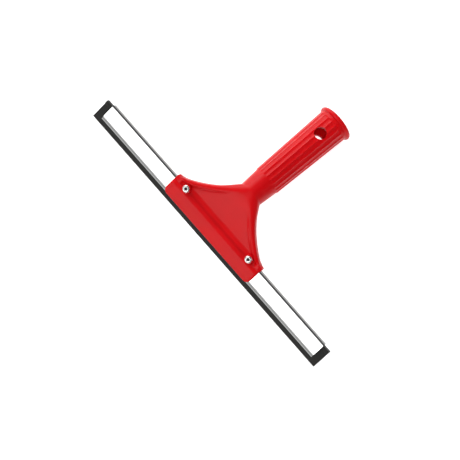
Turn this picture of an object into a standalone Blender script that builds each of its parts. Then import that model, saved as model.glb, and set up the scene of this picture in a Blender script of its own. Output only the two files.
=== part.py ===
"""Window squeegee: moulded handle and head, folded steel channel, rubber blade and blind rivets.

Units are metres, +Z is up.  The squeegee lies face up, resting on the back edge of its jaw and
on the lip of its handle.  X runs along the blade and Y from the blade to the handle's end.

Two frames carry the pieces.  In the head frame Y climbs the head from the working edge, Z leaves
its face and X runs along the blade.  In the handle frame Z runs along the handle's axis from the
bend, -Y leaves its face and X is shared with the head.
"""
import math

import bmesh
import bpy
from mathutils import Matrix, Vector

# Blade: a rubber strip with a thicker bead along its top
BLADE_LENGTH = 0.350
BLADE_HEIGHT = 0.0240
BLADE_THICKNESS = 0.003
BEAD_THICKNESS = 0.0058
BEAD_HEIGHT = 0.0034
BLADE_EDGE_RADIUS = 0.0002

# Channel: folded sheet, an upside-down U whose lips close on the strip
CHANNEL_LENGTH = 0.332
CHANNEL_HEIGHT = 0.020
CHANNEL_DEPTH = 0.008
SHEET = 0.0006
LIP_REACH = 0.0058
LIP_HEIGHT = 0.0009
LIP_CURVE_HEIGHT = 0.0034
SHOULDER_RADIUS = 0.0020
CREASE_HEIGHT = 0.0138
CREASE_STEP = 0.00015

# Head of the moulding: a jaw block that wraps the channel, and a ribbed web above it
JAW_LENGTH = 0.132
JAW_WALL = 0.0020
JAW_BOTTOM_INSET = 0.0003
JAW_CORNER_RADIUS = 0.0055
JAW_EDGE_RADIUS = 0.0010
SHOULDER_START = 0.0032
SHOULDER_RISE = 0.0044
WEB_THICKNESS = 0.0030
RIM_HALF_DEPTH = 0.0047
RIM_WIDTH = 0.0046
RIM_FOOT_INSET = 0.0045
RIM_ARC_SAG = 0.0032
RIM_EASE_START = 0.45
RIM_EASE_SPAN = 0.60
BAR_POWER = 6.0
ROUND_POWER = 2.0
FOOT_EMBED = 0.0052
HEAD_STATIONS = 12
POCKET_DRAFT = math.radians(42.0)
POCKET_TOP_CLEARANCE = 0.0060
POCKET_TIP_HALF_WIDTH = 0.0015
POCKET_RUNOUT = 0.0004
FRONT_POCKET_CLIMB = 1.0
FRONT_POCKET_SHARE = 1.0
BACK_POCKET_CLIMB = 0.6
BACK_POCKET_SHARE = 0.46
POCKET_STEPS = 10

# Handle of the moulding: a round neck, a fluted grip, a rounded lip and a tapered socket
BEND_ANGLE = math.radians(32.3)
BEND_HEIGHT = 0.0628
BEND_OFFSET = -0.0050
NECK_START = 0.0080
NECK_RADIUS = 0.0144
NECK_END_RADIUS = 0.0157
GRIP_START = 0.0302
GRIP_STEP = 0.0007
GRIP_STEP_LENGTH = 0.0010
GRIP_SPANS = 5
GRIP_END_RADIUS = 0.0190
LIP_RADIUS = 0.0212
LIP_BEAD = 0.0026
LIP_BEAD_START = 145.0
HANDLE_LENGTH = 0.1287
FLUTES = 20
FLUTE_DEPTH = 0.00085
FLUTE_END_GAP = 0.0045
FLUTE_RUNOUT = 0.0012
SOCKET_MOUTH_RADIUS = 0.0152
SOCKET_END_RADIUS = 0.0118
SOCKET_DEPTH = 0.0987
SOCKET_MOUTH_BEVEL = 0.0008
SOCKET_BOTTOM_SLOPE = 0.4
HANG_HOLE_DIAMETER = 0.0133
HANG_HOLE_FROM_END = 0.0264

# Blind rivets
RIVET_SPACING = 0.0978
RIVET_DIAMETER = 0.0040
RIVET_HEAD_DIAMETER = 0.0080
RIVET_HEAD_HEIGHT = 0.0013
RIVET_BRIM = 0.0003
RIVET_BORE_ROUND = 0.0006
RIVET_BORE = 0.0024
RIVET_TAIL_DIAMETER = 0.0058
RIVET_TAIL_LENGTH = 0.0034
RIVET_HOLE_CLEARANCE = 0.0003
MANDREL_DIAMETER = 0.0018
MANDREL_RECESS = 0.0010
MANDREL_HEAD_DIAMETER = 0.0034
BOSS_MARGIN = 0.0006
BOSS_STAND = 0.0002

# Fits and fineness
GAP = 0.0003
MERGE = 0.00001
SHARP_ANGLE = math.radians(35.0)
POINTS_PER_FLUTE = 4
ARC_STEPS = 6
SMALL_ARC_STEPS = 3
JAW_STEPS = 8
TURN_STEPS = 40
HOLE_STEPS = 34
RIVET_STEPS = 24
BEAD_STEPS = 8
TILT_STEPS = 50
OVERRUN = 0.004
EMPTY_SIZE = 0.02

# Derived sizes in the head frame
STRIP_HALF = BLADE_THICKNESS / 2
LIP_FACE = STRIP_HALF + GAP + SHEET
CHANNEL_TOP = LIP_REACH + CHANNEL_HEIGHT
CHANNEL_FACE = CHANNEL_DEPTH / 2
JAW_BOTTOM = LIP_REACH + JAW_BOTTOM_INSET
JAW_FACE = CHANNEL_FACE + GAP + JAW_WALL
RIVET_HEIGHT = BLADE_HEIGHT + GAP + RIVET_DIAMETER / 2
JAW_SHOULDER = CHANNEL_TOP - SHOULDER_START
JAW_TOP = CHANNEL_TOP + SHOULDER_RISE
WEB_FACE = WEB_THICKNESS / 2
BOSS_RADIUS = RIVET_HEAD_DIAMETER / 2 + BOSS_MARGIN
BOSS_FACE = JAW_FACE + BOSS_STAND
HANG_HOLE_STATION = HANDLE_LENGTH - HANG_HOLE_FROM_END


def clear_scene():
    """Remove whatever the file opened with."""
    for old in list(bpy.data.objects):
        bpy.data.objects.remove(old, do_unlink=True)


def new_collection(name):
    """Add a collection to the scene."""
    collection = bpy.data.collections.new(name)
    bpy.context.scene.collection.children.link(collection)
    return collection


def plastic(name, color, roughness):
    """Make an opaque Principled material for moulded plastic or rubber."""
    material = bpy.data.materials.new(name)
    material.use_nodes = True
    shader = material.node_tree.nodes["Principled BSDF"]
    shader.inputs["Base Color"].default_value = (*color, 1.0)
    shader.inputs["Roughness"].default_value = roughness
    return material


def metal(name, color, roughness):
    """Make a Principled metal."""
    material = plastic(name, color, roughness)
    material.node_tree.nodes["Principled BSDF"].inputs["Metallic"].default_value = 1.0
    return material


def mesh_object(name, bm, collection, parent, material=None):
    """Turn a bmesh into a linked object, shaded smooth with sharp edges kept."""
    bmesh.ops.recalc_face_normals(bm, faces=bm.faces)
    mesh = bpy.data.meshes.new(name)
    bm.to_mesh(mesh)
    bm.free()
    mesh.shade_smooth()
    mesh.set_sharp_from_angle(angle=SHARP_ANGLE)
    obj = bpy.data.objects.new(name, mesh)
    collection.objects.link(obj)
    obj.parent = parent
    if material is None:
        obj.hide_render = True
        obj.display_type = "WIRE"
    else:
        mesh.materials.append(material)
    return obj


def boolean(target, tool, operation, solver="EXACT"):
    """Add a Boolean modifier; the moulding uses MANIFOLD, because EXACT leaves it open at some sizes."""
    modifier = target.modifiers.new(operation.title() + " " + tool.name, "BOOLEAN")
    modifier.operation = operation
    modifier.solver = solver
    modifier.object = tool


def arc(center, radius, start, end, steps=ARC_STEPS):
    """Points of a circular arc in a plane, both ends included; angles in degrees."""
    points = []
    for step in range(steps + 1):
        angle = math.radians(start + (end - start) * step / steps)
        points.append((center[0] + radius * math.cos(angle), center[1] + radius * math.sin(angle)))
    return points


def along_x(point, station):
    """Section point (height, face offset) of a bar that runs along X."""
    return (station, point[0], point[1])


def extruded(name, outline, low, high, collection, parent, material=None):
    """Extrude a closed section along X from low to high."""
    bm = bmesh.new()
    face = bm.faces.new([bm.verts.new(along_x(point, low)) for point in outline])
    grown = bmesh.ops.extrude_face_region(bm, geom=[face])["geom"]
    moved = [item for item in grown if isinstance(item, bmesh.types.BMVert)]
    bmesh.ops.translate(bm, verts=moved, vec=(high - low, 0.0, 0.0))
    return mesh_object(name, bm, collection, parent, material)


def lofted(name, loops, collection, parent, material=None):
    """Join closed loops of equal length into one solid, capped at both ends."""
    bm = bmesh.new()
    rows = [[bm.verts.new(point) for point in loop] for loop in loops]
    count = len(rows[0])
    for lower, upper in zip(rows, rows[1:]):
        for index in range(count):
            after = (index + 1) % count
            bm.faces.new((lower[index], lower[after], upper[after], upper[index]))
    bm.faces.new(rows[0])
    bm.faces.new(rows[-1])
    bmesh.ops.triangulate(bm, faces=bm.faces)
    return mesh_object(name, bm, collection, parent, material)


def mirrored(half):
    """Close a half section (height, offset > 0) with its mirror image across the offset."""
    return half + [(height, -offset) for height, offset in reversed(half)]


def turned(name, profile, collection, parent, material=None, steps=TURN_STEPS):
    """Turn a profile of (radius, height) points, listed top to bottom, about Z."""
    bm = bmesh.new()
    verts = [bm.verts.new((radius, 0.0, height)) for radius, height in profile]
    for first, second in zip(verts, verts[1:]):
        bm.edges.new((first, second))
    mesh = bpy.data.meshes.new(name)
    bm.to_mesh(mesh)
    bm.free()
    obj = bpy.data.objects.new(name, mesh)
    collection.objects.link(obj)
    obj.parent = parent
    screw = obj.modifiers.new("Turn", "SCREW")
    screw.axis = "Z"
    screw.steps = steps
    screw.render_steps = steps
    screw.use_merge_vertices = True
    screw.merge_threshold = MERGE
    screw.use_smooth_shade = True
    if material is None:
        obj.hide_render = True
        obj.display_type = "WIRE"
    else:
        mesh.materials.append(material)
    return obj


# ---------------------------------------------------------------- frames

def head_touch_points():
    """Points of the blade and the jaw that could meet the floor, in the head frame."""
    section = mirrored(blade_half_section()) + mirrored(jaw_half_section(JAW_BOTTOM, 0.0))
    return [Vector((0.0, height, offset)) for height, offset in section]


def lip_touch_points():
    """Points of the handle's lip, along its front and its back, in the head frame."""
    return [handle_point(station, radius, side * math.pi / 2)
            for station, radius in lip_profile() for side in (-1, 1)]


def lowest(points, tilt):
    """Lowest level that the points reach with the head tilted."""
    return min(point.y * math.sin(tilt) + point.z * math.cos(tilt) for point in points)


def resting_tilt():
    """Tilt of the head that puts the head's lowest edge and the handle's lip on one floor."""
    low = 0.0
    high = math.pi / 4
    for _ in range(TILT_STEPS):
        middle = (low + high) / 2
        if lowest(lip_touch_points(), middle) < lowest(head_touch_points(), middle):
            low = middle
        else:
            high = middle
    return (low + high) / 2


def make_frames(collection):
    """Make the empties that carry the head's and the handle's pieces."""
    tilt = resting_tilt()
    head = bpy.data.objects.new("head_frame", None)
    head.rotation_euler = (tilt, 0.0, 0.0)
    handle = bpy.data.objects.new("handle_frame", None)
    handle.parent = head
    handle.location = (0.0, BEND_HEIGHT, BEND_OFFSET)
    handle.rotation_euler = (-math.pi / 2 - BEND_ANGLE, 0.0, 0.0)
    touch = head_touch_points() + lip_touch_points()
    turned_points = [Matrix.Rotation(tilt, 4, "X") @ point for point in touch]
    near = min(point.y for point in turned_points)
    far = max(point.y for point in turned_points)
    head.location = (0.0, -(near + far) / 2, -lowest(touch, tilt))
    for frame in (head, handle):
        frame.empty_display_size = EMPTY_SIZE
        collection.objects.link(frame)
    return head, handle


# ---------------------------------------------------------------- blade and channel

def blade_half_section():
    """Half section of the strip: thin body, sloped neck and rounded bead."""
    bead = BEAD_THICKNESS / 2
    slope = bead - STRIP_HALF
    neck = BLADE_HEIGHT - BEAD_HEIGHT
    corner = slope / 2
    edge = BLADE_EDGE_RADIUS
    body = arc((edge, STRIP_HALF - edge), edge, 180.0, 90.0, SMALL_ARC_STEPS)
    body += [(neck - slope, STRIP_HALF), (neck, bead)]
    body += arc((BLADE_HEIGHT - corner, bead - corner), corner, 90.0, 0.0, SMALL_ARC_STEPS)
    return body


def make_blade(collection, head, material):
    """The rubber strip, longer than its channel at both ends."""
    half = BLADE_LENGTH / 2
    outline = mirrored(blade_half_section())
    return extruded("rubber_blade", outline, -half, half, collection, head, material)


def channel_half_section(offset):
    """Half section of the channel's outer face, moved outward by offset; from lip to top middle."""
    wall = CHANNEL_FACE + offset
    lip = LIP_FACE + offset
    points = [(LIP_REACH, lip), (LIP_REACH + LIP_HEIGHT, lip)]
    curve_start = LIP_REACH + LIP_HEIGHT
    for step in range(1, ARC_STEPS + 1):
        share = step / ARC_STEPS
        swing = (1.0 - math.cos(math.pi * share)) / 2
        points.append((curve_start + LIP_CURVE_HEIGHT * share, lip + (wall - lip) * swing))
    crease = LIP_REACH + CREASE_HEIGHT
    points += [(crease - CREASE_STEP, wall), (crease + CREASE_STEP, wall - CREASE_STEP)]
    upper = wall - CREASE_STEP
    top = CHANNEL_TOP + offset
    radius = SHOULDER_RADIUS + offset
    points += arc((top - radius, upper - radius), radius, 90.0, 0.0)
    return points


def make_channel(collection, cutters, head, material):
    """The folded sheet channel, notched at its top where the rivets cross it."""
    half = CHANNEL_LENGTH / 2
    bm = bmesh.new()
    rows = []
    for end in (-half, half):
        rows.append([bm.verts.new(along_x(point, end)) for point in mirrored(channel_half_section(0.0))])
    for index in range(len(rows[0]) - 1):
        bm.faces.new((rows[0][index], rows[0][index + 1], rows[1][index + 1], rows[1][index]))
    channel = mesh_object("blade_channel", bm, collection, head, material)
    folded = channel.modifiers.new("Sheet", "SOLIDIFY")
    folded.thickness = SHEET
    folded.offset = -1.0 if surface_faces_out(channel) else 1.0
    folded.use_even_offset = True
    for side in (-1, 1):
        notch = rod_cutter("channel_notch" + side_name(side), side, RIVET_DIAMETER / 2 + GAP, cutters, head)
        boolean(channel, notch, "DIFFERENCE")
    return channel


def surface_faces_out(obj):
    """Tell whether the folded surface's top face has its normal pointing away from the blade."""
    top = max(obj.data.polygons, key=lambda face: face.center.y)
    return top.normal.y > 0.0


def side_name(side):
    """Name the two ends of the head."""
    return "_left" if side < 0 else "_right"


def rod_cutter(name, side, radius, cutters, head):
    """A round bar across the head on one rivet's axis."""
    reach = BOSS_FACE + OVERRUN
    profile = [(0.0, reach), (radius, reach), (radius, -reach), (0.0, -reach)]
    rod = turned(name, profile, cutters, head, steps=RIVET_STEPS)
    rod.location = (side * RIVET_SPACING / 2, RIVET_HEIGHT, 0.0)
    return rod


# ---------------------------------------------------------------- moulded head and handle

def jaw_half_section(bottom, inset):
    """Half section of the jaw block: flat face, then a soft S-shaped shoulder down to the web."""
    face = JAW_FACE - inset
    web = WEB_FACE - inset
    top = JAW_TOP - inset
    radius = JAW_EDGE_RADIUS
    points = arc((bottom + inset + radius, face - radius), radius, 180.0, 90.0, SMALL_ARC_STEPS)
    for step in range(JAW_STEPS + 1):
        share = step / JAW_STEPS
        swing = (1.0 + math.cos(math.pi * share)) / 2
        points.append((JAW_SHOULDER + (top - JAW_SHOULDER) * share, web + (face - web) * swing))
    return points


def make_jaw(cutters, head):
    """The block that wraps the channel, with round lower corners and rounded ends."""
    stations = []
    for step in range(JAW_STEPS + 1):
        angle = math.pi / 2 * step / JAW_STEPS
        back = JAW_CORNER_RADIUS * (1.0 - math.sin(angle))
        rise = JAW_CORNER_RADIUS * (1.0 - math.cos(angle))
        near = max(JAW_EDGE_RADIUS - back, 0.0)
        inset = JAW_EDGE_RADIUS - math.sqrt(JAW_EDGE_RADIUS ** 2 - near ** 2)
        stations.append((JAW_LENGTH / 2 - back, JAW_BOTTOM + rise, inset))
    stations = [(-x, bottom, inset) for x, bottom, inset in reversed(stations)] + stations
    loops = []
    for x, bottom, inset in stations:
        loops.append([along_x(point, x) for point in mirrored(jaw_half_section(bottom, inset))])
    return lofted("jaw_block", loops, cutters, head)


def rim_ends():
    """Plan points where the rim leaves the jaw and where it meets the neck."""
    foot = Vector((JAW_LENGTH / 2 - RIM_FOOT_INSET, JAW_TOP - WEB_FACE / 2))
    neck = Vector((NECK_RADIUS, BEND_HEIGHT + NECK_START * math.cos(BEND_ANGLE)))
    return foot, neck


def rim_half_width(height):
    """Half width of the head at a height: a hollow arc between the rim's two ends."""
    foot, neck = rim_ends()
    chord = neck - foot
    radius = (chord.length_squared / 4 + RIM_ARC_SAG ** 2) / (2 * RIM_ARC_SAG)
    outward = Vector((chord.y, -chord.x)).normalized()
    center = (foot + neck) / 2 + outward * (radius - RIM_ARC_SAG)
    level = min(max(height, foot.y), neck.y)
    reach = radius ** 2 - (level - center.y) ** 2
    return center.x - math.sqrt(reach)


def smooth(share):
    """Ease from 0 to 1 with level ends."""
    share = min(max(share, 0.0), 1.0)
    return share * share * (3.0 - 2.0 * share)


def section_points(center_y, center_z, tilt, half_width, half_depth, power):
    """One section of the head, from a flat bar (high power) to a circle (power 2)."""
    count = FLUTES * POINTS_PER_FLUTE
    points = []
    for index in range(count):
        angle = 2 * math.pi * index / count
        cosine = math.cos(angle)
        sine = math.sin(angle)
        x = half_width * math.copysign(abs(cosine) ** (2 / power), cosine)
        depth = half_depth * math.copysign(abs(sine) ** (2 / power), sine)
        points.append(Vector((x, center_y + depth * math.sin(tilt), center_z + depth * math.cos(tilt))))
    return points


def head_sections():
    """Sections of the head from inside the jaw up to the round neck."""
    start = JAW_TOP - FOOT_EMBED
    neck_y = BEND_HEIGHT + NECK_START * math.cos(BEND_ANGLE)
    neck_z = BEND_OFFSET - NECK_START * math.sin(BEND_ANGLE)
    sections = []
    for station in range(HEAD_STATIONS):
        share = station / HEAD_STATIONS
        height = start + (neck_y - start) * share
        bend = smooth((share - RIM_EASE_START) / RIM_EASE_SPAN)
        center_z = neck_z * bend * share
        half_depth = RIM_HALF_DEPTH + (NECK_RADIUS - RIM_HALF_DEPTH) * bend * share
        power = BAR_POWER + (ROUND_POWER - BAR_POWER) * bend
        sections.append(section_points(
            height, center_z, BEND_ANGLE * bend, rim_half_width(height), half_depth, power))
    return sections


def flute_shares():
    """Depth of the flutes round one ring, as shares of full depth, with a land facing front."""
    lands = [1.0 if step == POINTS_PER_FLUTE // 2 else 0.0 for step in range(POINTS_PER_FLUTE)]
    count = FLUTES * POINTS_PER_FLUTE
    quarter = count // 4
    return [lands[(index - quarter) % POINTS_PER_FLUTE] for index in range(count)]


def grip_radius(station):
    """Outer radius of the plain grip cone at a distance from the bend."""
    start = NECK_END_RADIUS + GRIP_STEP
    share = (station - GRIP_START) / (HANDLE_LENGTH - GRIP_START)
    return start + (GRIP_END_RADIUS - start) * share


def lip_profile():
    """Profile of the rounded lip: (distance from the bend, radius)."""
    center = (HANDLE_LENGTH - LIP_BEAD, LIP_RADIUS - LIP_BEAD)
    return arc(center, LIP_BEAD, LIP_BEAD_START, 0.0, BEAD_STEPS)


def handle_rings():
    """Rings of the handle: (distance from the bend, radius, flute depth)."""
    grip_end = HANDLE_LENGTH - 2 * LIP_BEAD
    flute_end = grip_end - FLUTE_END_GAP
    rings = [
        (NECK_START, NECK_RADIUS, 0.0),
        ((NECK_START + GRIP_START) / 2, (NECK_RADIUS + NECK_END_RADIUS) / 2, 0.0),
        (GRIP_START - FLUTE_RUNOUT, NECK_END_RADIUS, 0.0),
        (GRIP_START, NECK_END_RADIUS, FLUTE_DEPTH - GRIP_STEP),
        (GRIP_START + GRIP_STEP_LENGTH, grip_radius(GRIP_START + GRIP_STEP_LENGTH), FLUTE_DEPTH),
    ]
    for span in range(1, GRIP_SPANS + 1):
        station = GRIP_START + (flute_end - GRIP_START) * span / GRIP_SPANS
        rings.append((station, grip_radius(station), FLUTE_DEPTH))
    rings.append((flute_end + FLUTE_RUNOUT, grip_radius(flute_end + FLUTE_RUNOUT), 0.0))
    rings.append((grip_end, grip_radius(grip_end), 0.0))
    rings += [(station, radius, 0.0) for station, radius in lip_profile()]
    return rings


def handle_point(station, radius, angle):
    """A point on the handle in the head frame; the angle runs from +X to the front."""
    along = Vector((0.0, math.cos(BEND_ANGLE), -math.sin(BEND_ANGLE)))
    front = Vector((0.0, math.sin(BEND_ANGLE), math.cos(BEND_ANGLE)))
    base = Vector((0.0, BEND_HEIGHT, BEND_OFFSET))
    across = Vector((math.cos(angle), 0.0, 0.0))
    return base + along * station + (across + front * math.sin(angle)) * radius


def make_body(collection, head, material):
    """The outside of the web and the handle, lofted from a flat bar to a fluted tube."""
    shares = flute_shares()
    count = len(shares)
    sections = head_sections()
    for station, radius, depth in handle_rings():
        sections.append([
            handle_point(station, radius - depth * shares[index], 2 * math.pi * index / count)
            for index in range(count)])
    return lofted("moulded_handle", sections, collection, head, material)


def pocket_outline(length, grow):
    """Plan of a recess between the rims, grown outward by its drafted walls.

    The length is a share of the way from the rims' feet to the neck.
    """
    low = JAW_SHOULDER - OVERRUN
    foot, neck = rim_ends()
    right = []
    for step in range(POCKET_STEPS + 1):
        share = length * step / POCKET_STEPS
        height = foot.y + (neck.y - foot.y) * share
        inset = RIM_WIDTH * (1.0 + share)
        narrowest = POCKET_TIP_HALF_WIDTH * (1 + POCKET_STEPS * (1.0 - share))
        right.append((max(rim_half_width(height) - inset, narrowest) + grow, height + grow))
    right.insert(0, (right[0][0], low))
    return right + [(-x, y) for x, y in reversed(right)]


def pocket_cutter(name, face, length, climb, cutters, head):
    """A recess with drafted walls; its floor climbs from the web's face towards the neck."""
    rise = RIM_HALF_DEPTH - WEB_FACE + POCKET_TOP_CLEARANCE
    grow = rise * math.tan(POCKET_DRAFT)
    foot, neck = rim_ends()
    slope = climb * (RIM_HALF_DEPTH + POCKET_RUNOUT - WEB_FACE) / (neck.y - foot.y)
    loops = []
    for lift, spread in ((0.0, 0.0), (rise, grow)):
        loop = []
        for x, y in pocket_outline(length, spread):
            floor = WEB_FACE + max(y - spread - foot.y, 0.0) * slope
            loop.append((x, y, face * (floor + lift)))
        loops.append(loop)
    return lofted(name, loops, cutters, head)


def make_boss(side, cutters, head):
    """A round pad through the jaw that gives a rivet's head and tail a flat seat."""
    profile = [(0.0, BOSS_FACE), (BOSS_RADIUS - GAP, BOSS_FACE), (BOSS_RADIUS, BOSS_FACE - GAP)]
    profile += [(radius, -height) for radius, height in reversed(profile)]
    boss = turned("rivet_boss" + side_name(side), profile, cutters, head, steps=RIVET_STEPS)
    boss.location = (side * RIVET_SPACING / 2, RIVET_HEIGHT, 0.0)
    return boss


def slot_cutter(cutters, head):
    """The space that the channel fills, open at the bottom and at both ends."""
    half = JAW_LENGTH / 2 + OVERRUN
    section = channel_half_section(GAP)
    section.insert(0, (LIP_REACH - OVERRUN, section[0][1]))
    return extruded("channel_slot", mirrored(section), -half, half, cutters, head)


def socket_cutter(cutters, handle):
    """The tapered socket in the handle's end, with a conical bottom."""
    mouth = HANDLE_LENGTH
    bottom = HANDLE_LENGTH - SOCKET_DEPTH
    profile = [
        (0.0, mouth + OVERRUN),
        (SOCKET_MOUTH_RADIUS + SOCKET_MOUTH_BEVEL, mouth + OVERRUN),
        (SOCKET_MOUTH_RADIUS + SOCKET_MOUTH_BEVEL, mouth),
        (SOCKET_MOUTH_RADIUS, mouth - SOCKET_MOUTH_BEVEL),
        (SOCKET_END_RADIUS, bottom),
        (0.0, bottom - SOCKET_END_RADIUS * SOCKET_BOTTOM_SLOPE),
    ]
    return turned("handle_socket", profile, cutters, handle)


def hang_hole_cutter(cutters, handle):
    """The hole through both walls of the handle, square to its face."""
    radius = HANG_HOLE_DIAMETER / 2
    reach = LIP_RADIUS + OVERRUN
    profile = [(0.0, reach), (radius, reach), (radius, -reach), (0.0, -reach)]
    hole = turned("hanging_hole", profile, cutters, handle, steps=HOLE_STEPS)
    hole.location = (0.0, 0.0, HANG_HOLE_STATION)
    hole.rotation_euler = (math.pi / 2, 0.0, 0.0)
    return hole


def make_moulding(collection, cutters, head, handle, material):
    """The one-piece moulding: web and handle, then the jaw, then everything cut from them."""
    body = make_body(collection, head, material)
    boolean(body, socket_cutter(cutters, handle), "DIFFERENCE", "MANIFOLD")
    boolean(body, hang_hole_cutter(cutters, handle), "DIFFERENCE", "MANIFOLD")
    front = pocket_cutter("front_recess", 1, FRONT_POCKET_SHARE, FRONT_POCKET_CLIMB, cutters, head)
    boolean(body, front, "DIFFERENCE", "MANIFOLD")
    back = pocket_cutter("back_recess", -1, BACK_POCKET_SHARE, BACK_POCKET_CLIMB, cutters, head)
    boolean(body, back, "DIFFERENCE", "MANIFOLD")
    boolean(body, make_jaw(cutters, head), "UNION", "MANIFOLD")
    for side in (-1, 1):
        boolean(body, make_boss(side, cutters, head), "UNION", "MANIFOLD")
    boolean(body, slot_cutter(cutters, head), "DIFFERENCE", "MANIFOLD")
    for side in (-1, 1):
        radius = RIVET_DIAMETER / 2 + RIVET_HOLE_CLEARANCE
        hole = rod_cutter("rivet_hole" + side_name(side), side, radius, cutters, head)
        boolean(body, hole, "DIFFERENCE", "MANIFOLD")
    return body


# ---------------------------------------------------------------- rivets

def rivet_profile():
    """Set blind rivet: domed head, hollow shank and the tail swollen behind the back pad."""
    seat = BOSS_FACE + GAP
    bore = RIVET_BORE / 2
    head = RIVET_HEAD_DIAMETER / 2
    shank = RIVET_DIAMETER / 2
    tail = RIVET_TAIL_DIAMETER / 2
    top = seat + RIVET_HEAD_HEIGHT
    crown = bore + RIVET_BORE_ROUND
    profile = [(bore, top - RIVET_BORE_ROUND / 2)]
    for step in range(ARC_STEPS + 1):
        angle = math.pi / 2 * step / ARC_STEPS
        radius = crown + (head - crown) * math.sin(angle)
        height = seat + RIVET_BRIM + (RIVET_HEAD_HEIGHT - RIVET_BRIM) * math.cos(angle)
        profile.append((radius, height))
    profile += [(head, seat), (shank, seat), (shank, -seat)]
    for step in range(1, ARC_STEPS):
        share = step / ARC_STEPS
        swell = math.sqrt(math.sin(math.pi * share))
        profile.append((shank + (tail - shank) * swell, -seat - RIVET_TAIL_LENGTH * share))
    end = -seat - RIVET_TAIL_LENGTH
    profile += [(shank, end), (bore, end)]
    return profile + [profile[0]]


def mandrel_profile():
    """Stub of the pulled mandrel: a pin in the bore and a round head behind the tail."""
    pin = MANDREL_DIAMETER / 2
    head = MANDREL_HEAD_DIAMETER / 2
    top = BOSS_FACE + GAP + RIVET_HEAD_HEIGHT - MANDREL_RECESS
    seat = -(BOSS_FACE + GAP + RIVET_TAIL_LENGTH) - GAP
    profile = [(0.0, top), (pin, top), (pin, seat)]
    profile += arc((0.0, seat), head, 0.0, -90.0)
    return profile


def make_rivets(collection, head, body_material, pin_material):
    """Both rivets, each a body and the stub of its mandrel."""
    for side in (-1, 1):
        place = (side * RIVET_SPACING / 2, RIVET_HEIGHT, 0.0)
        name = "rivet" + side_name(side)
        body = turned(name, rivet_profile(), collection, head, body_material, RIVET_STEPS)
        body.location = place
        name = "rivet_pin" + side_name(side)
        pin = turned(name, mandrel_profile(), collection, head, pin_material, RIVET_STEPS)
        pin.location = place


def build():
    """Build the squeegee."""
    clear_scene()
    parts = new_collection("window_squeegee")
    cutters = new_collection("cutters")
    red = plastic("red_polypropylene", (0.64, 0.012, 0.016), 0.38)
    rubber = plastic("black_rubber", (0.022, 0.022, 0.021), 0.6)
    steel = metal("stainless_steel", (0.72, 0.72, 0.71), 0.2)
    aluminium = metal("aluminium", (0.80, 0.79, 0.77), 0.28)
    pin_steel = metal("pin_steel", (0.35, 0.35, 0.36), 0.4)
    head, handle = make_frames(parts)
    make_moulding(parts, cutters, head, handle, red)
    make_channel(parts, cutters, head, steel)
    make_blade(parts, head, rubber)
    make_rivets(parts, head, aluminium, pin_steel)


build()
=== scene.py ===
"""Window squeegee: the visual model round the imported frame.

Sizes are in metres.  The head frame has X along the blade, Y climbing the head from the working
edge and Z leaving its face.  The moulding is one closed loft of rings: up the head, along the
handle, over the lip and down the socket.
"""

import math

import bmesh
import bpy
import numpy as np
from mathutils import Matrix, Vector


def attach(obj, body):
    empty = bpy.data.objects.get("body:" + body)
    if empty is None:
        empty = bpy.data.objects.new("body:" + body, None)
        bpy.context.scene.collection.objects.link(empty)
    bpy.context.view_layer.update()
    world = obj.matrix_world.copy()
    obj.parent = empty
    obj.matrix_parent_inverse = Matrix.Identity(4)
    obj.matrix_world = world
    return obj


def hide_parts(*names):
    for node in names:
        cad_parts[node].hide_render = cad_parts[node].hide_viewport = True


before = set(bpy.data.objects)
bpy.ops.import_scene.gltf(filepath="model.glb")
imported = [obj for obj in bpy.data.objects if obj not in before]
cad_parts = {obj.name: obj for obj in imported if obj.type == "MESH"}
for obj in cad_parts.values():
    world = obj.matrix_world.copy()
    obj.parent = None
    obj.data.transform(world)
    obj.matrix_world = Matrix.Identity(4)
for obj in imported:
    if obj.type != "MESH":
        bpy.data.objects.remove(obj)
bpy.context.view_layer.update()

# ---------------------------------------------------------------- sizes

# Resting place of the head frame
TILT = math.radians(29.051516)
HEAD_Y = -0.093109
HEAD_Z = 0.002190

# Rubber strip
BLADE_LENGTH = 0.350
BLADE_HEIGHT = 0.0240
BLADE_THICKNESS = 0.003
BEAD_THICKNESS = 0.0058
BEAD_HEIGHT = 0.0034
BLADE_EDGE_RADIUS = 0.0002
BLADE_EDGE_STEPS = 4
BEAD_STEPS = 6

# Channel
CHANNEL_LENGTH = 0.332
CHANNEL_BOTTOM = 0.0058
CHANNEL_TOP = 0.0258
CHANNEL_FACE = 0.0040
# Painted shade on the steel, standing in for darker reflections: the share of colour left at the
# lip and the top fold, and the heights over which it fades
SHEET = 0.0006
PAINTED_SHADE_LEVEL = 0.22
PAINTED_SHADE_LIP = (0.0026, 0.0050)
PAINTED_SHADE_FOLD = (0.0012, 0.0002)
LIP_FACE = 0.0024
LIP_HEIGHT = 0.0009
LIP_CURVE_HEIGHT = 0.0034
SHOULDER_RADIUS = 0.0020
CREASE_HEIGHT = 0.0196
CREASE_STEP = 0.00015
CREASE_REACH = 0.0012
LIP_CURVE_STEPS = 14
SHOULDER_STEPS = 12
NOTCH_REACH = 0.01

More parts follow.
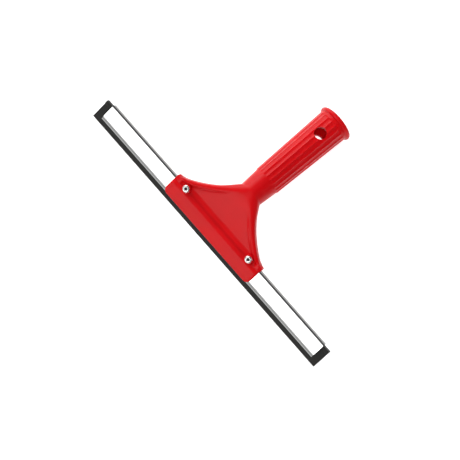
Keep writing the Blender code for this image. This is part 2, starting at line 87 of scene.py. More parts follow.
# Head of the moulding
JAW_HALF = 0.066
JAW_BOTTOM = 0.0061
JAW_FACE = 0.0063
JAW_SHOULDER = 0.0198
JAW_TOP = 0.0302
JAW_CORNER = 0.0055
EAR_CORNER = 0.0022
JAW_EDGE = 0.0010
WEB_FACE = 0.0015
RIM_DEPTH = 0.0047
RIM_FOOT = (0.0615, 0.02945)
RIM_NECK = (0.0144, 0.06956)
RIM_SAG = 0.0032
RIM_WIDTH = 0.0030
RIM_WIDTH_GROWTH = 1.0
RIM_WALL_SLOPE = 1.0
WALL_EASE = 0.0012
WALL_EASE_GROWTH = 0.0035
FRONT_CLIMB = 0.090
BACK_CLIMB = 0.054
BACK_POCKET_TOP = 0.0483
BACK_POCKET_SLOPE = 1.1
BACK_POCKET_EASE = 0.004
HEAD_FOOT = 0.0250
EASE_START = 0.45
EASE_SPAN = 0.60
SLOPE_STEP = 0.0005
EAR_FILLET = 0.0022
EAR_FILLET_REACH = 0.0009
EAR_FALL = 0.3
RIM_FALL = 4.0
FALL_START = 0.0012
FALL_SPAN = 0.0016
CARVE_EASE = 0.0010
SHOULDER_EASE = 0.0025
SHOULDER_EASE_TOP = 0.0020
SHOULDER_EASE_SPAN = 0.0050
LEAST_EASE = 0.00001
JAW_POWER = 22.0
BAR_POWER = 6.0
ROUND_POWER = 2.0
POWER_CHANGE = 0.0004
FOOT_STRETCH = 0.004
FOOT_LIFT = 0.0001
FOOT_CROWDING = 1.6

# Handle
BEND_ANGLE = math.radians(32.3)
BEND = (0.0, 0.0628, -0.0050)
NECK_START = 0.0080
NECK_RADIUS = 0.0144
NECK_END_RADIUS = 0.0157
GRIP_START = 0.0302
GRIP_STEP = 0.0007
GRIP_STEP_BEFORE = 0.0010
GRIP_STEP_AFTER = 0.0006
GRIP_STEP_HASTE = 1.15
GRIP_END_RADIUS = 0.0190
HANDLE_LENGTH = 0.1287
LIP_RADIUS = 0.0212
LIP_BEAD = 0.0026
LIP_BEAD_START = 155.0
LIP_FOOT = ((0.0006, 0.01885), (0.0, 0.01892))
FLUTES = 20
FLUTE_DEPTH = 0.00065
FLUTE_PHASE = math.radians(3.6)
FLUTE_POWER = 2.0
FLUTE_END = 0.1190
FLUTE_RUNOUT = 0.0018
SOCKET_MOUTH = 0.0152
MOUTH_ROUND = ((0.0, 0.0012), (0.0001, 0.0007), (0.0004, 0.0002), (0.0008, 0.0))
SOCKET_END = 0.0118
SOCKET_BOTTOM = 0.0300
SOCKET_FLOOR = ((0.0012, SOCKET_END - 0.0016), (0.0040, 0.0030))
HOLE_RADIUS = 0.00665
HOLE_STATION = 0.1023
HOLE_REACH = 0.026

# Rivets
RIVET_X = 0.0489
RIVET_Y = 0.0263
RIVET_HEAD = 0.0040
RIVET_SHANK = 0.0020
RIVET_BORE = 0.0012
RIVET_HEAD_HEIGHT = 0.0013
RIVET_TAIL = 0.0029
RIVET_TAIL_LENGTH = 0.0034
RIVET_FUNNEL = 0.0010
RIVET_BORE_ROUND = ((0.0, 0.0011), (0.0006, 0.0003), (0.0009, 0.00006))
RIVET_BRIM = 0.00035
RIVET_EDGE = 0.0001
PAD_RADIUS = 0.0046
PAD_FACE = 0.0065
PAD_ROUND = ((0.0005, 0.0), (0.0001, 0.0001), (0.0, 0.0005))
GAP = 0.0003
PIN_RADIUS = 0.0009
PIN_HEAD = 0.0017
PIN_RECESS = 0.0015
PIN_TIP = ((0.25, 0.0), (0.7, 0.00006), (1.0, 0.0003))
PIN_ARC = (-8.0, -84.0)

# How far a cutting tool runs past a face, and the edge angles that stay sharp
OVERRUN = 0.004
SHARP = 40.0
MOULDING_SHARP = 38.0
CHANNEL_SHARP = 50.0
RIVET_SHARP = 50.0

# Fineness: points round a ring, and rings along each stretch of the moulding
RING = 400
CORNER_RINGS = 16
FACE_RINGS = 8
SHOULDER_RINGS = 18
EAR_RINGS = 8
FOOT_RINGS = 14
WEB_RINGS = 70
NECK_RINGS = 24
STEP_RINGS = 9
GRIP_RINGS = 24
LIP_STEPS = 22
SOCKET_RINGS = 14
PAD_POINTS = 48
BORE_POINTS = 32
HOLE_POINTS = 64
RIVET_POINTS = 64
PIN_POINTS = 40
DOME_STEPS = 12
TAIL_STEPS = 14

# Surroundings: a dim base, and bright patches of (direction, full-strength angle, outer angle,
# strength), with the angles in degrees
WORLD_BASE = 0.16
WORLD_PATCHES = (
    ((-0.11, -0.82, 0.57), 13.0, 21.0, 2.7),
    ((-0.90, 0.18, 0.35), 22.0, 40.0, 2.9),
)

# Lamps: (name, place, size, power)
LAMPS = (
    ("overhead", (-0.3, 0.0, 1.6), (1.4, 1.4), 6.0),
    ("on_axis", (0.22, -0.33, 1.85), (0.3, 0.3), 12.5),
    ("right", (1.2, 0.2, 0.8), (0.8, 0.8), 3.5),
    ("left", (-1.3, 0.3, 0.7), (0.8, 0.8), 5.0),
)
LAMP_TARGET = (0.0, 0.0, 0.02)
FLOOR_REACH = 6.0

# Camera, in the head frame, with its sensor and lens in millimetres. Its place is about 1 mm to
# one side, because the head of the real object sits about 2 mm off the strip's middle.
CAMERA_PLACE = (0.20113, 0.61968, 1.53829)
CAMERA_RIGHT = (0.656829, 0.673730, -0.338609)
CAMERA_UP = (-0.745436, 0.647808, -0.157043)
SENSOR_WIDTH = 36.0
LENS = 125.593043

HEAD_FRAME = Matrix.Translation((0.0, HEAD_Y, HEAD_Z)) @ Matrix.Rotation(TILT, 4, "X")

# The handle's own directions, in the head frame
ALONG = np.array((0.0, math.cos(BEND_ANGLE), -math.sin(BEND_ANGLE)))
FRONT = np.array((0.0, math.sin(BEND_ANGLE), math.cos(BEND_ANGLE)))


# ---------------------------------------------------------------- helpers

def smooth(share):
    """Ease from 0 to 1 with level ends."""
    share = np.clip(share, 0.0, 1.0)
    return share * share * (3.0 - 2.0 * share)


def soft_min(first, second, blend):
    """The lower of two values, rounded where they cross."""
    mix = np.clip(0.5 + 0.5 * (second - first) / blend, 0.0, 1.0)
    return second * (1.0 - mix) + first * mix - blend * mix * (1.0 - mix)


def soft_max(first, second, blend):
    """The higher of two values, rounded where they cross."""
    return -soft_min(-first, -second, blend)


def mesh_piece(name, points, faces, material, sharp=SHARP):
    """A smooth-shaded piece in the head frame, as a linked object in the row frame."""
    mesh = bpy.data.meshes.new(name)
    mesh.from_pydata([tuple(point) for point in points], [], faces)
    mesh.materials.append(material)
    mesh.update()
    edit = bmesh.new()
    edit.from_mesh(mesh)
    bmesh.ops.recalc_face_normals(edit, faces=edit.faces)
    edit.to_mesh(mesh)
    edit.free()
    mesh.transform(HEAD_FRAME)
    mesh.shade_smooth()
    mesh.set_sharp_from_angle(angle=math.radians(sharp))
    piece = bpy.data.objects.new(name, mesh)
    bpy.context.scene.collection.objects.link(piece)
    return piece


def loft(rings, capped=True):
    """Vertices and faces of closed rings of equal length, joined in order and capped if wanted."""
    count = len(rings[0])
    points = np.concatenate(rings)
    faces = []
    for row in range(len(rings) - 1):
        low = row * count
        high = low + count
        for index in range(count):
            after = (index + 1) % count
            faces.append((low + index, low + after, high + after, high + index))
    if capped:
        last = (len(rings) - 1) * count
        faces.append(tuple(range(count)))
        faces.append(tuple(range(last, last + count)))
    return points, faces


def arc(center, radius, start, end, steps):
    """Points of a circular arc in a plane; angles in degrees."""
    points = []
    for step in range(steps + 1):
        angle = math.radians(start + (end - start) * step / steps)
        points.append((center[0] + radius * math.cos(angle), center[1] + radius * math.sin(angle)))
    return points


def turned(profile, steps, place):
    """Rings of a profile of (radius, height) turned about an axis along Z at a place."""
    rings = []
    angles = np.linspace(0.0, 2 * np.pi, steps, endpoint=False)
    for radius, height in profile:
        ring = np.stack([
            place[0] + radius * np.cos(angles),
            place[1] + radius * np.sin(angles),
            np.full(steps, place[2] + height)], axis=1)
        rings.append(ring)
    return rings


def cut(target, tool, operation):
    """Apply a Boolean with a tool that is then removed."""
    modifier = target.modifiers.new(operation.title(), "BOOLEAN")
    modifier.operation = operation
    modifier.solver = "MANIFOLD"
    modifier.object = tool
    bpy.context.view_layer.update()
    graph = bpy.context.evaluated_depsgraph_get()
    shape = bpy.data.meshes.new_from_object(target.evaluated_get(graph))
    target.modifiers.clear()
    target.data = shape
    bpy.data.objects.remove(tool, do_unlink=True)


def finish_cut(piece, material, sharp):
    """Give a cut piece its one material and its smooth shading again."""
    piece.data.materials.clear()
    piece.data.materials.append(material)
    piece.data.shade_smooth()
    piece.data.set_sharp_from_angle(angle=math.radians(sharp))


# ---------------------------------------------------------------- materials

class Nodes:
    """Short calls for building a node tree."""

    def __init__(self, name):
        self.material = bpy.data.materials.new(name)
        self.material.use_nodes = True
        self.tree = self.material.node_tree
        self.shader = self.tree.nodes["Principled BSDF"]
        self.coordinates = self.tree.nodes.new("ShaderNodeTexCoord")

    def add(self, kind, inputs=None, **settings):
        """Add a node; inputs maps socket names or numbers to values or to other sockets."""
        node = self.tree.nodes.new(kind)
        for key, value in settings.items():
            setattr(node, key, value)
        for key, value in (inputs or {}).items():
            self.feed(node.inputs[key], value)
        return node

    def feed(self, socket, value):
        """Link or set one socket."""
        if isinstance(value, bpy.types.NodeSocket):
            self.tree.links.new(value, socket)
        else:
            socket.default_value = value

    def space(self, scale):
        """Object coordinates stretched by a scale."""
        return self.add("ShaderNodeMapping", {
            "Vector": self.coordinates.outputs["Object"], "Scale": scale}).outputs["Vector"]

    def noise(self, scale, size, detail=3.0, roughness=0.5):
        """Noise from 0 to 1 over stretched object coordinates."""
        return self.add("ShaderNodeTexNoise", {
            "Vector": self.space(scale), "Scale": size,
            "Detail": detail, "Roughness": roughness}).outputs["Fac"]

    def spread(self, value, low, high, out_low, out_high):
        """Map a range of values to another."""
        return self.add("ShaderNodeMapRange", {
            "Value": value, "From Min": low, "From Max": high,
            "To Min": out_low, "To Max": out_high}).outputs["Result"]

    def ramp(self, value, stops):
        """Colours along a value, as (position, colour) stops."""
        node = self.add("ShaderNodeValToRGB", {"Fac": value})
        elements = node.color_ramp.elements
        for index, (position, color) in enumerate(stops):
            element = elements[index] if index < 2 else elements.new(position)
            element.position = position
            element.color = (*color, 1.0)
        return node.outputs["Color"]

    def bump(self, height, distance, strength, normal=None):
        """A bump from a height value."""
        inputs = {"Height": height, "Distance": distance, "Strength": strength}
        if normal is not None:
            inputs["Normal"] = normal
        return self.add("ShaderNodeBump", inputs).outputs["Normal"]

    def finish(self, **sockets):
        """Feed the shader; keys are socket names with underscores for spaces."""
        for key, value in sockets.items():
            self.feed(self.shader.inputs[key.replace("_", " ")], value)
        return self.material


def red_plastic():
    """Glossy moulded polypropylene: faint flow mottling, fine grain, hairline scratches."""
    tree = Nodes("red_polypropylene")
    mottle = tree.noise((1.0, 1.0, 1.0), 38.0, 4.0)
    grain = tree.noise((1.0, 1.0, 1.0), 2600.0, 2.0)
    orange_peel = tree.noise((1.0, 1.0, 1.0), 420.0, 2.0)
    scratch = tree.noise((60.0, 900.0, 300.0), 1.0, 2.0)
    color = tree.ramp(mottle, [(0.3, (0.46, 0.0010, 0.003)), (0.7, (0.52, 0.0016, 0.004))])
    rough = tree.spread(mottle, 0.3, 0.7, 0.28, 0.34)
    rough = tree.add("ShaderNodeMath", {0: rough, 1: tree.spread(scratch, 0.58, 0.75, 0.0, 0.12)},
                     operation="ADD").outputs[0]
    normal = tree.bump(orange_peel, 0.0004, 0.05)
    normal = tree.bump(grain, 0.00008, 0.12, normal)
    return tree.finish(
        Base_Color=color, Roughness=rough, Normal=normal, IOR=1.49, Specular_IOR_Level=0.18,
        Subsurface_Weight=0.4, Subsurface_Scale=0.004, Subsurface_Radius=(1.0, 0.12, 0.08))


def rubber():
    """Black rubber: matte, with fine extrusion lines and dusty patches."""
    tree = Nodes("black_rubber")
    lines = tree.noise((4.0, 1800.0, 1800.0), 1.0, 2.0)
    grain = tree.noise((1.0, 1.0, 1.0), 1900.0, 3.0)
    dust = tree.noise((1.0, 1.0, 1.0), 55.0, 5.0, 0.6)
    color = tree.ramp(dust, [(0.35, (0.007, 0.007, 0.006)), (0.75, (0.015, 0.014, 0.012))])
    normal = tree.bump(lines, 0.00008, 0.25)
    normal = tree.bump(grain, 0.00008, 0.3, normal)
    return tree.finish(
        Base_Color=color, Roughness=tree.spread(dust, 0.3, 0.7, 0.50, 0.66), Normal=normal,
        Specular_IOR_Level=0.3)


def rolled_steel():
    """Bright rolled stainless sheet: fine lengthwise lines, faint smudges, and painted shade that
    darkens the colour at the lip and the top fold, standing in for darker reflections there.
    """
    tree = Nodes("stainless_steel")
    lines = tree.noise((3.0, 1400.0, 1400.0), 1.0, 2.0)
    smudge = tree.noise((1.0, 1.0, 1.0), 45.0, 5.0, 0.6)
    upward = HEAD_FRAME.to_3x3() @ Vector((0.0, 1.0, 0.0))
    climb = tree.add("ShaderNodeVectorMath", {
        0: tree.coordinates.outputs["Object"], 1: upward}, operation="DOT_PRODUCT").outputs["Value"]
    lip_base = upward.dot(HEAD_FRAME.translation) + CHANNEL_BOTTOM
    fold_base = upward.dot(HEAD_FRAME.translation) + CHANNEL_TOP
    # Painted shade: the colour is scaled down near the lip and the top fold, standing in for darker
    # reflections there
    lip = tree.spread(climb, lip_base + PAINTED_SHADE_LIP[0], lip_base + PAINTED_SHADE_LIP[1], PAINTED_SHADE_LEVEL, 1.0)
    fold = tree.spread(climb, fold_base - PAINTED_SHADE_FOLD[0], fold_base - PAINTED_SHADE_FOLD[1], 1.0, PAINTED_SHADE_LEVEL)
    shade_share = tree.add("ShaderNodeMath", {0: lip, 1: fold}, operation="MULTIPLY").outputs[0]
    color = tree.ramp(smudge, [(0.3, (0.76, 0.76, 0.76)), (0.7, (0.82, 0.82, 0.81))])
    color = tree.add(
        "ShaderNodeVectorMath", {0: color, "Scale": shade_share}, operation="SCALE").outputs["Vector"]
    rough = tree.spread(smudge, 0.3, 0.7, 0.12, 0.15)
    rough = tree.add("ShaderNodeMath", {0: rough, 1: tree.spread(lines, 0.3, 0.7, 0.0, 0.03)},
                     operation="ADD").outputs[0]
    return tree.finish(
        Base_Color=color, Metallic=1.0, Roughness=rough, Normal=tree.bump(lines, 0.00001, 0.1))


def bare_metal(name, low, high, roughness):
    """Plain formed metal with turning marks and small dents."""
    tree = Nodes(name)
    dents = tree.noise((1.0, 1.0, 1.0), 700.0, 3.0)
    tone = tree.noise((1.0, 1.0, 1.0), 260.0, 3.0)
    return tree.finish(
        Base_Color=tree.ramp(tone, [(0.3, low), (0.7, high)]), Metallic=1.0,
        Roughness=tree.spread(tone, 0.3, 0.7, roughness - 0.05, roughness + 0.05),
        Normal=tree.bump(dents, 0.00006, 0.3))


# ---------------------------------------------------------------- moulding

def rim_half(height):
    """Half width of the head between its rims' outer edges: a hollow arc."""
    foot = Vector(RIM_FOOT)
    neck = Vector(RIM_NECK)
    chord = neck - foot
    radius = (chord.length_squared / 4 + RIM_SAG ** 2) / (2 * RIM_SAG)
    outward = Vector((chord.y, -chord.x)).normalized()
    center = (foot + neck) / 2 + outward * (radius - RIM_SAG)
    level = np.clip(height, foot.y, neck.y)
    return center.x - np.sqrt(radius ** 2 - (level - center.y) ** 2)


def rim_slant(height):
    """Cosine of the outline's slope: turns a distance along X into one across the rim."""
    run = (rim_half(height + SLOPE_STEP) - rim_half(height - SLOPE_STEP)) / (2 * SLOPE_STEP)
    return 1.0 / np.sqrt(1.0 + run ** 2)


def head_half(height):
    """Half width of the whole head: jaw with round corners, then the rims' outline."""
    if height <= JAW_TOP:
        half = JAW_HALF
        low = JAW_CORNER - (height - JAW_BOTTOM)
        if low > 0.0:
            half += math.sqrt(max(JAW_CORNER ** 2 - low ** 2, 0.0)) - JAW_CORNER
        high = EAR_CORNER - (JAW_TOP - height)
        if high > 0.0:
            half += math.sqrt(max(EAR_CORNER ** 2 - high ** 2, 0.0)) - EAR_CORNER
        return half
    fillet = EAR_FILLET * math.exp(-(height - JAW_TOP) / EAR_FILLET_REACH)
    return float(rim_half(height)) + fillet


def jaw_depth(height):
    """Depth of the jaw at a height: round bottom edge, flat face, S-shaped shoulder."""
    depth = JAW_FACE
    low = JAW_EDGE - (height - JAW_BOTTOM)
    if low > 0.0:
        depth += math.sqrt(max(JAW_EDGE ** 2 - low ** 2, 0.0)) - JAW_EDGE
    share = min(max((height - JAW_SHOULDER) / (JAW_TOP - JAW_SHOULDER), 0.0), 1.0)
    swing = (1.0 + math.cos(math.pi * share)) / 2
    return WEB_FACE + (depth - WEB_FACE) * swing


def pocket_depth(x, height, face):
    """Depth that the recess leaves at a point: the web's floor, and drafted walls at the rims."""
    share = np.clip((height - RIM_FOOT[1]) / (RIM_NECK[1] - RIM_FOOT[1]), 0.0, 1.0)
    climb = FRONT_CLIMB if face > 0 else BACK_CLIMB
    floor = WEB_FACE + climb * np.maximum(height - RIM_FOOT[1], 0.0)
    inside = (rim_half(height) - np.abs(x)) * rim_slant(height)
    width = RIM_WIDTH * (1.0 + RIM_WIDTH_GROWTH * share)
    foot = width + (RIM_DEPTH - floor) / RIM_WALL_SLOPE
    wall = floor + np.maximum(foot - inside, 0.0) * RIM_WALL_SLOPE
    ease = WALL_EASE + WALL_EASE_GROWTH * share
    depth = soft_max(floor, floor + (foot - inside) * RIM_WALL_SLOPE, ease)
    if face < 0:
        top = floor + (height - BACK_POCKET_TOP) * BACK_POCKET_SLOPE
        depth = soft_max(depth, top, BACK_POCKET_EASE)
    return np.where(inside < 0.0, wall, depth)


def head_ring(height):
    """One ring of the head, from the jaw's bottom to the neck."""
    angles = np.linspace(0.0, 2 * np.pi, RING, endpoint=False)
    cosine = np.cos(angles)
    sine = np.sin(angles)
    share = (height - HEAD_FOOT) / (RIM_NECK[1] - HEAD_FOOT)
    bend = float(smooth((share - EASE_START) / EASE_SPAN))
    drop = NECK_START * math.sin(BEND_ANGLE)
    center_z = (BEND[2] - drop) * bend * max(share, 0.0)
    half_depth = RIM_DEPTH + (NECK_RADIUS - RIM_DEPTH) * bend * max(share, 0.0)
    half = head_half(height)
    in_jaw = float(smooth((JAW_TOP + POWER_CHANGE - height) / (2 * POWER_CHANGE)))
    power = BAR_POWER + (ROUND_POWER - BAR_POWER) * bend
    power += (JAW_POWER - power) * in_jaw
    tilt = BEND_ANGLE * bend
    x = half * cosine
    bulge = (1.0 - np.minimum(np.abs(cosine), 1.0) ** power) ** (1.0 / power)
    side = np.sign(np.round(sine, 9))
    depth = half_depth * bulge
    above_ear = float(smooth((height - JAW_TOP + FALL_START) / FALL_SPAN))
    fall = EAR_FALL + (RIM_FALL - EAR_FALL) * above_ear
    near_jaw = float(smooth((JAW_TOP + SHOULDER_EASE_TOP - height) / SHOULDER_EASE_SPAN))
    ease = LEAST_EASE + SHOULDER_EASE * near_jaw
    rises = []
    for face in (1, -1):
        pocket = (pocket_depth(x, height, face) - face * center_z) / math.cos(tilt)
        carved = soft_min(depth, pocket, CARVE_EASE)
        beyond = (np.abs(x) - rim_half(height)) * rim_slant(height)
        outside = RIM_DEPTH - beyond * fall
        carved = np.where(beyond > 0.0, np.minimum(carved, outside), carved)
        if height < JAW_TOP + SHOULDER_EASE_TOP:
            carved = soft_max(carved, jaw_depth(height) * bulge, ease)
        carved = np.minimum(carved, np.maximum(half_depth, jaw_depth(height)) * bulge)
        rises.append(carved)
    rise = np.where(side > 0, rises[0], np.where(side < 0, -rises[1], 0.0))
    return np.stack([x, height + rise * math.sin(tilt), center_z + rise * math.cos(tilt)], axis=1)


def grip_radius(station):
    """Outer radius of the grip's lands at a distance from the bend."""
    start = NECK_END_RADIUS + GRIP_STEP
    share = (station - GRIP_START) / (HANDLE_LENGTH - GRIP_START)
    return start + (GRIP_END_RADIUS - start) * share


def flute_profile(angles):
    """Share of full depth round the grip: hollow flutes that meet in narrow crests."""
    turn = (angles - math.pi / 2 + FLUTE_PHASE) * FLUTES / (2 * np.pi)
    off_valley = 2.0 * np.abs(turn - np.round(turn))
    return 1.0 - off_valley ** FLUTE_POWER


def handle_ring(station, radius, depth):
    """One ring of the handle; depth is that of its flutes."""
    angles = np.linspace(0.0, 2 * np.pi, RING, endpoint=False)
    reach = radius - depth * flute_profile(angles)
    base = np.array(BEND) + ALONG * station
    ring = base + np.outer(reach * np.sin(angles), FRONT)
    ring[:, 0] += reach * np.cos(angles)
    return ring


def moulding_rings():
    """Every ring of the moulding, from the jaw's bottom round to the socket's bottom."""
    heights = [
        JAW_BOTTOM + JAW_CORNER * (1.0 - math.cos(math.pi / 2 * step / CORNER_RINGS))
        for step in range(CORNER_RINGS + 1)]
    heights += list(np.linspace(JAW_BOTTOM + JAW_CORNER, JAW_SHOULDER, FACE_RINGS)[1:])
    heights += list(np.linspace(JAW_SHOULDER, JAW_TOP - EAR_CORNER, SHOULDER_RINGS)[1:])
    heights += [
        JAW_TOP - EAR_CORNER * (1.0 - math.sin(math.pi / 2 * step / EAR_RINGS))
        for step in range(1, EAR_RINGS + 1)]
    steps = np.linspace(0.0, 1.0, FOOT_RINGS) ** FOOT_CROWDING
    heights += list(JAW_TOP + FOOT_LIFT + FOOT_STRETCH * steps)
    heights += list(np.linspace(heights[-1], RIM_NECK[1], WEB_RINGS)[1:-1])
    rings = [head_ring(height) for height in heights]
    step_start = GRIP_START - GRIP_STEP_BEFORE
    step_end = GRIP_START + GRIP_STEP_AFTER
    for share in np.linspace(0.0, 1.0, NECK_RINGS):
        station = NECK_START + (step_start - NECK_START) * share
        radius = NECK_RADIUS + (NECK_END_RADIUS - NECK_RADIUS) * share
        rings.append(handle_ring(station, radius, 0.0))
    for share in np.linspace(0.0, 1.0, STEP_RINGS)[1:]:
        station = step_start + (step_end - step_start) * share
        rise = float(smooth(share * GRIP_STEP_HASTE))
        radius = NECK_END_RADIUS + (grip_radius(station) - NECK_END_RADIUS) * rise
        rings.append(handle_ring(station, radius, FLUTE_DEPTH * rise))
    for share in np.linspace(0.0, 1.0, GRIP_RINGS)[1:]:
        station = step_end + (FLUTE_END - step_end) * share
        rings.append(handle_ring(station, grip_radius(station), FLUTE_DEPTH))
    for share in np.linspace(0.0, 1.0, STEP_RINGS)[1:]:
        station = FLUTE_END + FLUTE_RUNOUT * share
        depth = FLUTE_DEPTH * (1.0 - float(smooth(share)))
        rings.append(handle_ring(station, grip_radius(station), depth))
    rings += [handle_ring(station, radius, 0.0) for station, radius in lip_and_socket()]
    return rings


def lip_and_socket():
    """Profile (distance from the bend, radius) over the lip and down the socket."""
    bead = (HANDLE_LENGTH - LIP_BEAD, LIP_RADIUS - LIP_BEAD)
    profile = [(HANDLE_LENGTH - 2 * LIP_BEAD - before, radius) for before, radius in LIP_FOOT]
    profile += arc(bead, LIP_BEAD, LIP_BEAD_START, 0.0, LIP_STEPS)
    profile += [(HANDLE_LENGTH - depth, SOCKET_MOUTH + wider) for depth, wider in MOUTH_ROUND]
    start = profile[-1][0]
    for share in np.linspace(0.0, 1.0, SOCKET_RINGS)[1:]:
        station = start + (SOCKET_BOTTOM - start) * share
        profile.append((station, SOCKET_MOUTH + (SOCKET_END - SOCKET_MOUTH) * share))
    return profile + [(SOCKET_BOTTOM - below, radius) for below, radius in SOCKET_FLOOR]


def channel_outline(offset):
    """Closed outline (height, depth) of the channel's outer face, moved outward."""
    wall = CHANNEL_FACE + offset
    lip = LIP_FACE + offset
    half = [(CHANNEL_BOTTOM, lip), (CHANNEL_BOTTOM + LIP_HEIGHT, lip)]
    for step in range(1, LIP_CURVE_STEPS + 1):
        share = step / LIP_CURVE_STEPS
        swing = (1.0 - math.cos(math.pi * share)) / 2
        height = CHANNEL_BOTTOM + LIP_HEIGHT + LIP_CURVE_HEIGHT * share
        half.append((height, lip + (wall - lip) * swing))
    half += [(CREASE_HEIGHT - CREASE_REACH, wall), (CREASE_HEIGHT, wall - CREASE_STEP / 2)]
    half += [(CREASE_HEIGHT + CREASE_REACH, wall - CREASE_STEP)]
    radius = SHOULDER_RADIUS + offset
    center = (CHANNEL_TOP + offset - radius, wall - CREASE_STEP - radius)
    return half + arc(center, radius, 90.0, 0.0, SHOULDER_STEPS)


def bar(name, outline, half, material, sharp=SHARP):
    """A closed outline (height, depth) run along X."""
    rings = [[(x, height, depth) for height, depth in outline] for x in (-half, half)]
    points, faces = loft([np.array(ring) for ring in rings])
    return mesh_piece(name, points, faces, material, sharp)


def rivet_place(side):
    """Where the axis of one rivet crosses the head's middle plane."""
    return (side * RIVET_X, RIVET_Y, 0.0)


def make_moulding(material):
    """The one-piece head and handle, with its slot, holes and pads."""
    points, faces = loft(moulding_rings())
    body = mesh_piece("handle_moulding", points, faces, material)
    reach = PAD_FACE + OVERRUN
    for side in (-1, 1):
        place = rivet_place(side)
        profile = [(PAD_RADIUS - back, PAD_FACE - down) for back, down in PAD_ROUND]
        profile += [(radius, -height) for radius, height in reversed(profile)]
        pad = mesh_piece("pad", *loft(turned(profile, PAD_POINTS, place)), material)
        cut(body, pad, "UNION")
    slot = channel_outline(GAP)
    slot.insert(0, (CHANNEL_BOTTOM - OVERRUN, slot[0][1]))
    outline = slot + [(height, -depth) for height, depth in reversed(slot)]
    cut(body, bar("slot", outline, JAW_HALF + OVERRUN, material), "DIFFERENCE")
    for side in (-1, 1):
        place = rivet_place(side)
        hole = [(RIVET_SHANK + GAP, reach), (RIVET_SHANK + GAP, -reach)]
        tool = mesh_piece("hole", *loft(turned(hole, BORE_POINTS, place)), material)
        cut(body, tool, "DIFFERENCE")
    angles = np.linspace(0.0, 2 * np.pi, HOLE_POINTS, endpoint=False)
    center = np.array(BEND) + ALONG * HOLE_STATION
    rings = []
    for level in (HOLE_REACH, -HOLE_REACH):
        ring = center + FRONT * level + np.outer(HOLE_RADIUS * np.sin(angles), ALONG)
        ring[:, 0] += HOLE_RADIUS * np.cos(angles)
        rings.append(ring)
    cut(body, mesh_piece("hang", *loft(rings), material), "DIFFERENCE")
    finish_cut(body, material, MOULDING_SHARP)
    return body


# ---------------------------------------------------------------- blade, channel, rivets

def make_channel(material):
    """The folded sheet: outer face, returned along its inner face, notched for the rivets."""
    outer = channel_outline(0.0)
    inner = channel_outline(-SHEET)
    inner[0] = (CHANNEL_BOTTOM, inner[0][1])
    outer_full = outer + [(height, -depth) for height, depth in reversed(outer)]
    inner_full = inner + [(height, -depth) for height, depth in reversed(inner)]
    outline = outer_full + list(reversed(inner_full))
    channel = bar("steel_channel", outline, CHANNEL_LENGTH / 2, material, CHANNEL_SHARP)
    for side in (-1, 1):
        place = rivet_place(side)
        notch = [(RIVET_SHANK + GAP, NOTCH_REACH), (RIVET_SHANK + GAP, -NOTCH_REACH)]
        tool = mesh_piece("notch", *loft(turned(notch, BORE_POINTS, place)), material)
        cut(channel, tool, "DIFFERENCE")
    finish_cut(channel, material, CHANNEL_SHARP)
    return channel


def make_blade(material):
    """The rubber strip with small rounded edges and a bead."""
    bead = BEAD_THICKNESS / 2
    half = BLADE_THICKNESS / 2
    edge = BLADE_EDGE_RADIUS
    slope = bead - half
    neck = BLADE_HEIGHT - BEAD_HEIGHT
    corner = slope / 2
    outline = arc((edge, half - edge), edge, 180.0, 90.0, BLADE_EDGE_STEPS)
    outline += [(neck - slope, half), (neck, bead)]
    outline += arc((BLADE_HEIGHT - corner, bead - corner), corner, 90.0, 0.0, BEAD_STEPS)
    outline += [(height, -depth) for height, depth in reversed(outline)]
    return bar("rubber_strip", outline, BLADE_LENGTH / 2, material)


def side_name(side):
    """Name of one end of the head."""
    return "_left" if side < 0 else "_right"


def make_rivet(side, material):
    """Domed, hollow blind rivet with its swollen tail."""
    seat = PAD_FACE + GAP
    top = seat + RIVET_HEAD_HEIGHT
    crown = RIVET_BORE + RIVET_FUNNEL
    profile = [(RIVET_BORE + wider, top - down) for wider, down in RIVET_BORE_ROUND]
    for step in range(DOME_STEPS + 1):
        angle = math.pi / 2 * step / DOME_STEPS
        radius = crown + (RIVET_HEAD - RIVET_EDGE - crown) * math.sin(angle)
        dome = (RIVET_HEAD_HEIGHT - RIVET_BRIM) * math.cos(angle)
        profile.append((radius, seat + RIVET_BRIM + dome))
    profile += [(RIVET_HEAD, seat + RIVET_BRIM - RIVET_EDGE), (RIVET_HEAD, seat + RIVET_EDGE)]
    profile += [(RIVET_HEAD - RIVET_EDGE, seat), (RIVET_SHANK, seat), (RIVET_SHANK, -seat)]
    for step in range(1, TAIL_STEPS):
        share = step / TAIL_STEPS
        swell = math.sqrt(math.sin(math.pi * share))
        radius = RIVET_SHANK + (RIVET_TAIL - RIVET_SHANK) * swell
        profile.append((radius, -seat - RIVET_TAIL_LENGTH * share))
    end = -seat - RIVET_TAIL_LENGTH
    profile += [(RIVET_SHANK, end), (RIVET_BORE, end)]
    rings = turned(profile + [profile[0]], RIVET_POINTS, rivet_place(side))
    points, faces = loft(rings[:-1], capped=False)
    count = len(rings[0])
    last = (len(rings) - 2) * count
    for index in range(count):
        after = (index + 1) % count
        faces.append((last + index, last + after, after, index))
    name = "rivet" + side_name(side) + "_shell"
    return mesh_piece(name, points, faces, material, RIVET_SHARP)


def make_pin(side, material):
    """The broken mandrel: a rough stub in the bore and a round head behind."""
    top = PAD_FACE + GAP + RIVET_HEAD_HEIGHT - PIN_RECESS
    seat = -(PAD_FACE + GAP + RIVET_TAIL_LENGTH) - GAP
    profile = [(PIN_RADIUS * share, top - down) for share, down in PIN_TIP]
    profile += [(PIN_RADIUS, seat), (PIN_HEAD - RIVET_EDGE, seat), (PIN_HEAD, seat - RIVET_EDGE)]
    profile += arc((0.0, seat), PIN_HEAD, *PIN_ARC, DOME_STEPS)
    rings = turned(profile, PIN_POINTS, rivet_place(side))
    points, faces = loft(rings)
    return mesh_piece("pin" + side_name(side) + "_stub", points, faces, material)


# ---------------------------------------------------------------- object

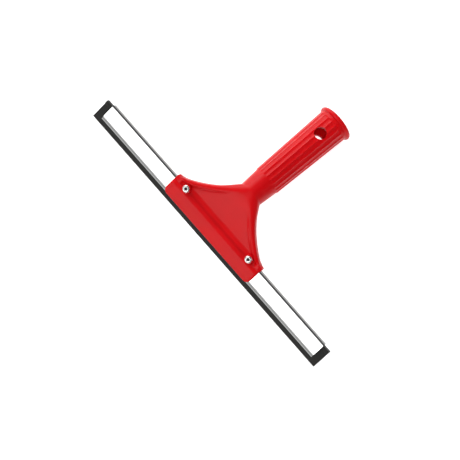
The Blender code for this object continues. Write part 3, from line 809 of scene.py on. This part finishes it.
red = red_plastic()
steel = rolled_steel()
black = rubber()
aluminium = bare_metal("aluminium", (0.70, 0.70, 0.69), (0.84, 0.83, 0.81), 0.24)
dark_steel = bare_metal("pin_steel", (0.05, 0.05, 0.05), (0.11, 0.11, 0.11), 0.5)

parts = [
    (make_moulding(red), "holder", "moulded_handle", "red_polypropylene"),
    (make_channel(steel), "holder", "blade_channel", "stainless_steel"),
    (make_blade(black), "strip", "rubber_blade", "black_rubber"),
]
for side, word in ((-1, "left"), (1, "right")):
    parts.append((make_rivet(side, aluminium), "holder", "rivet_" + word, "aluminium"))
    parts.append((make_pin(side, dark_steel), "holder", "rivet_pin_" + word, "pin_steel"))
for piece, body, node, slot in parts:
    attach(piece, body)
    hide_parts(node)


# ---------------------------------------------------------------- floor, light, camera

def make_floor():
    """A wide pale floor that glows faintly, so that it stays white under soft light."""
    tree = Nodes("studio_floor")
    tone = tree.noise((1.0, 1.0, 1.0), 3.0, 2.0)
    color = tree.ramp(tone, [(0.3, (0.86, 0.86, 0.86)), (0.7, (0.88, 0.88, 0.88))])
    material = tree.finish(
        Base_Color=color, Roughness=0.9, Specular_IOR_Level=0.0,
        Emission_Color=(1.0, 1.0, 1.0, 1.0), Emission_Strength=0.55)
    edit = bmesh.new()
    corners = ((-1, -1), (1, -1), (1, 1), (-1, 1))
    edit.faces.new([edit.verts.new((x * FLOOR_REACH, y * FLOOR_REACH, 0.0)) for x, y in corners])
    mesh = bpy.data.meshes.new("studio_floor")
    edit.to_mesh(mesh)
    edit.free()
    mesh.materials.append(material)
    floor = bpy.data.objects.new("studio_floor", mesh)
    bpy.context.scene.collection.objects.link(floor)


def softbox(name, place, size, power):
    """A soft rectangular light aimed at the object; surfaces don't mirror it."""
    light = bpy.data.lights.new(name, "AREA")
    light.shape = "RECTANGLE"
    light.size, light.size_y = size
    light.energy = power
    lamp = bpy.data.objects.new(name, light)
    lamp.location = place
    lamp.visible_glossy = False
    lamp.rotation_euler = (Vector(LAMP_TARGET) - Vector(place)).to_track_quat("-Z", "Y").to_euler()
    bpy.context.scene.collection.objects.link(lamp)


def make_camera():
    """The photograph's camera, fitted to the outline of the object."""
    place = HEAD_FRAME @ Vector(CAMERA_PLACE)
    turn = HEAD_FRAME.to_3x3()
    right = turn @ Vector(CAMERA_RIGHT)
    up = turn @ Vector(CAMERA_UP)
    back = right.cross(up)
    camera = bpy.data.cameras.new("camera")
    camera.sensor_width = SENSOR_WIDTH
    camera.lens = LENS
    camera.clip_end = 20.0
    viewer = bpy.data.objects.new("camera", camera)
    viewer.matrix_world = Matrix((
        (right.x, up.x, back.x, place.x),
        (right.y, up.y, back.y, place.y),
        (right.z, up.z, back.z, place.z),
        (0.0, 0.0, 0.0, 1.0)))
    bpy.context.scene.collection.objects.link(viewer)
    bpy.context.scene.camera = viewer


def make_world():
    """Studio surroundings: dim all round, with a bright patch in front and one on the left."""
    world = bpy.data.worlds.new("studio")
    world.use_nodes = True
    tree = world.node_tree
    back = tree.nodes["Background"]
    direction = tree.nodes.new("ShaderNodeTexCoord").outputs["Generated"]
    total = None
    for toward, inner, outer, strength in WORLD_PATCHES:
        aim = Vector(toward).normalized()
        dot = tree.nodes.new("ShaderNodeVectorMath")
        dot.operation = "DOT_PRODUCT"
        tree.links.new(direction, dot.inputs[0])
        dot.inputs[1].default_value = aim
        patch = tree.nodes.new("ShaderNodeMapRange")
        patch.interpolation_type = "SMOOTHSTEP"
        tree.links.new(dot.outputs["Value"], patch.inputs["Value"])
        patch.inputs["From Min"].default_value = math.cos(math.radians(outer))
        patch.inputs["From Max"].default_value = math.cos(math.radians(inner))
        patch.inputs["To Max"].default_value = strength
        if total is None:
            total = patch.outputs["Result"]
        else:
            join = tree.nodes.new("ShaderNodeMath")
            join.operation = "ADD"
            tree.links.new(total, join.inputs[0])
            tree.links.new(patch.outputs["Result"], join.inputs[1])
            total = join.outputs[0]
    lift = tree.nodes.new("ShaderNodeMath")
    lift.operation = "ADD"
    tree.links.new(total, lift.inputs[0])
    lift.inputs[1].default_value = WORLD_BASE
    tree.links.new(lift.outputs[0], back.inputs["Strength"])
    back.inputs["Color"].default_value = (1.0, 1.0, 1.0, 1.0)
    bpy.context.scene.world = world


make_floor()
make_world()
make_camera()
for name, place, size, power in LAMPS:
    softbox(name, place, size, power)
bpy.context.scene.view_settings.view_transform = "Standard"
